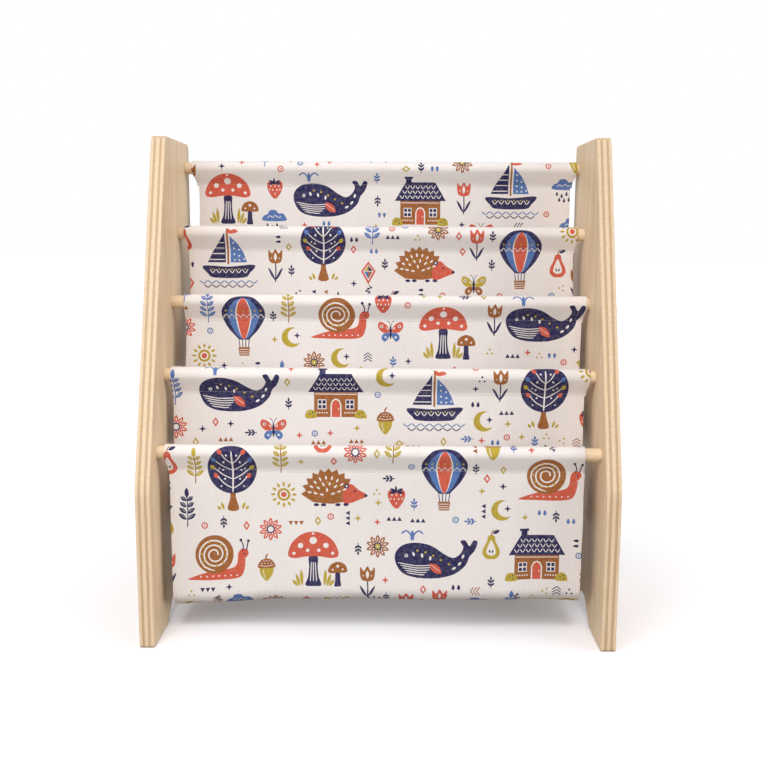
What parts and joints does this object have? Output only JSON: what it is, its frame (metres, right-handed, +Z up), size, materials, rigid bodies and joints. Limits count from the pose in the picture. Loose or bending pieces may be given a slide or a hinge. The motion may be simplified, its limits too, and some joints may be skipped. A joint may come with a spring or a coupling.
{
  "type": "sling bookshelf",
  "caption": "Low child's bookshelf: two plywood sides joined by round rods, with a printed canvas sling hung over the rods as stepped pockets for picture books.",
  "frame": {"origin": "on the floor, under the middle of the whole shelf", "axes": "+X to the right seen from the front, +Y from front to back, +Z up"},
  "size_m": [0.57, 0.278, 0.611],
  "materials": {
    "plywood": "clear satin lacquer on birch plywood",
    "dowel": "clear satin lacquer on round hardwood",
    "canvas": "off-white cotton canvas with a small printed pattern",
    "screw_steel": "bright zinc plate"
  },
  "bodies": {
    "root": {"left_panel": "plywood", "right_panel": "plywood", "rod_1": "dowel", "screw_rod_1_left": "screw_steel", "screw_rod_1_right": "screw_steel", "rod_2": "dowel", "screw_rod_2_left": "screw_steel", "screw_rod_2_right": "screw_steel", "rod_3": "dowel", "screw_rod_3_left": "screw_steel", "screw_rod_3_right": "screw_steel", "rod_4": "dowel", "screw_rod_4_left": "screw_steel", "screw_rod_4_right": "screw_steel", "rod_5": "dowel", "screw_rod_5_left": "screw_steel", "screw_rod_5_right": "screw_steel", "rear_stretcher": "dowel", "screw_rear_stretcher_left": "screw_steel", "screw_rear_stretcher_right": "screw_steel", "sleeve_1": "canvas", "sleeve_2": "canvas", "sleeve_3": "canvas", "sleeve_4": "canvas", "sleeve_5": "canvas", "pocket_1": "canvas", "pocket_2": "canvas", "pocket_3": "canvas", "pocket_4": "canvas"}
  },
  "joints": []
}
